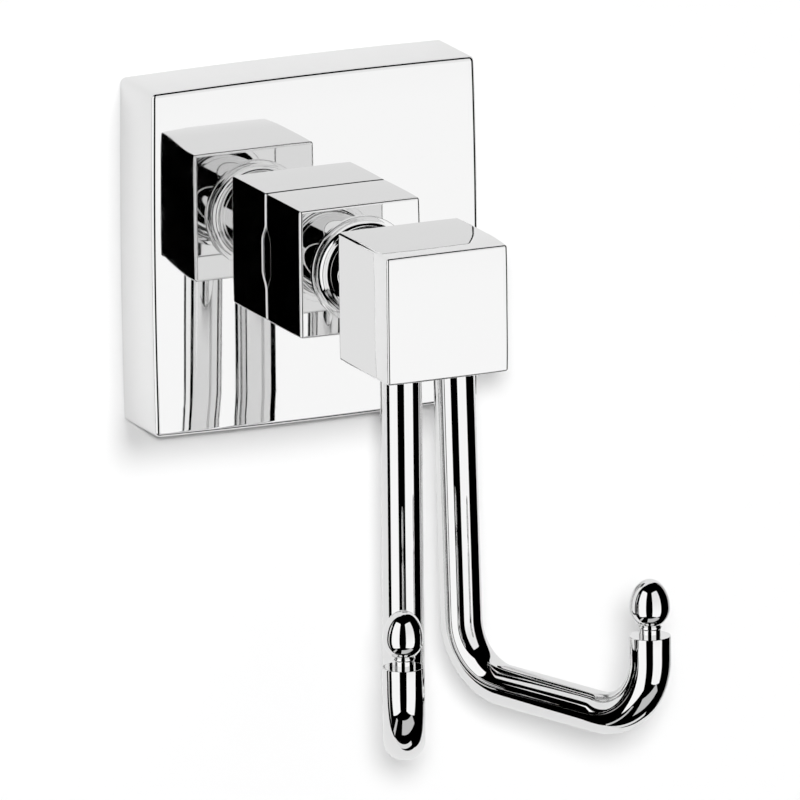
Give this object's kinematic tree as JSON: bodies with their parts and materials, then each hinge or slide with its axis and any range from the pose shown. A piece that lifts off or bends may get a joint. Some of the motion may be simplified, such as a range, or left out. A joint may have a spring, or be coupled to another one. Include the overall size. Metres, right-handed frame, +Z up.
{
  "type": "double robe hook",
  "caption": "Wall-mounted robe hook: a square plate carries a square post with a turned neck, and from it bent rods with egg-shaped tips hang down and splay to the left and right.",
  "frame": {"origin": "on the wall, at the centre of the square plate", "axes": "+Y goes into the wall, so the post stands out along -Y; +Z is up and the hooks hang below; +X is to the right, seen from the front"},
  "size_m": [0.0514, 0.0822, 0.0856],
  "materials": {
    "polished_chrome": "mirror-polished chrome plate",
    "zinc_plated_steel": "rolled sheet, bright zinc plate",
    "fastener_steel": "turned steel, fine tool marks"
  },
  "bodies": {
    "root": {"wall_plate": "polished_chrome", "post": "polished_chrome", "left_hook": "polished_chrome", "right_hook": "polished_chrome", "wall_bracket": "zinc_plated_steel", "post_bolt": "fastener_steel", "post_washer": "fastener_steel", "locating_pin": "fastener_steel", "plate_lock_screw": "fastener_steel"}
  },
  "joints": []
}
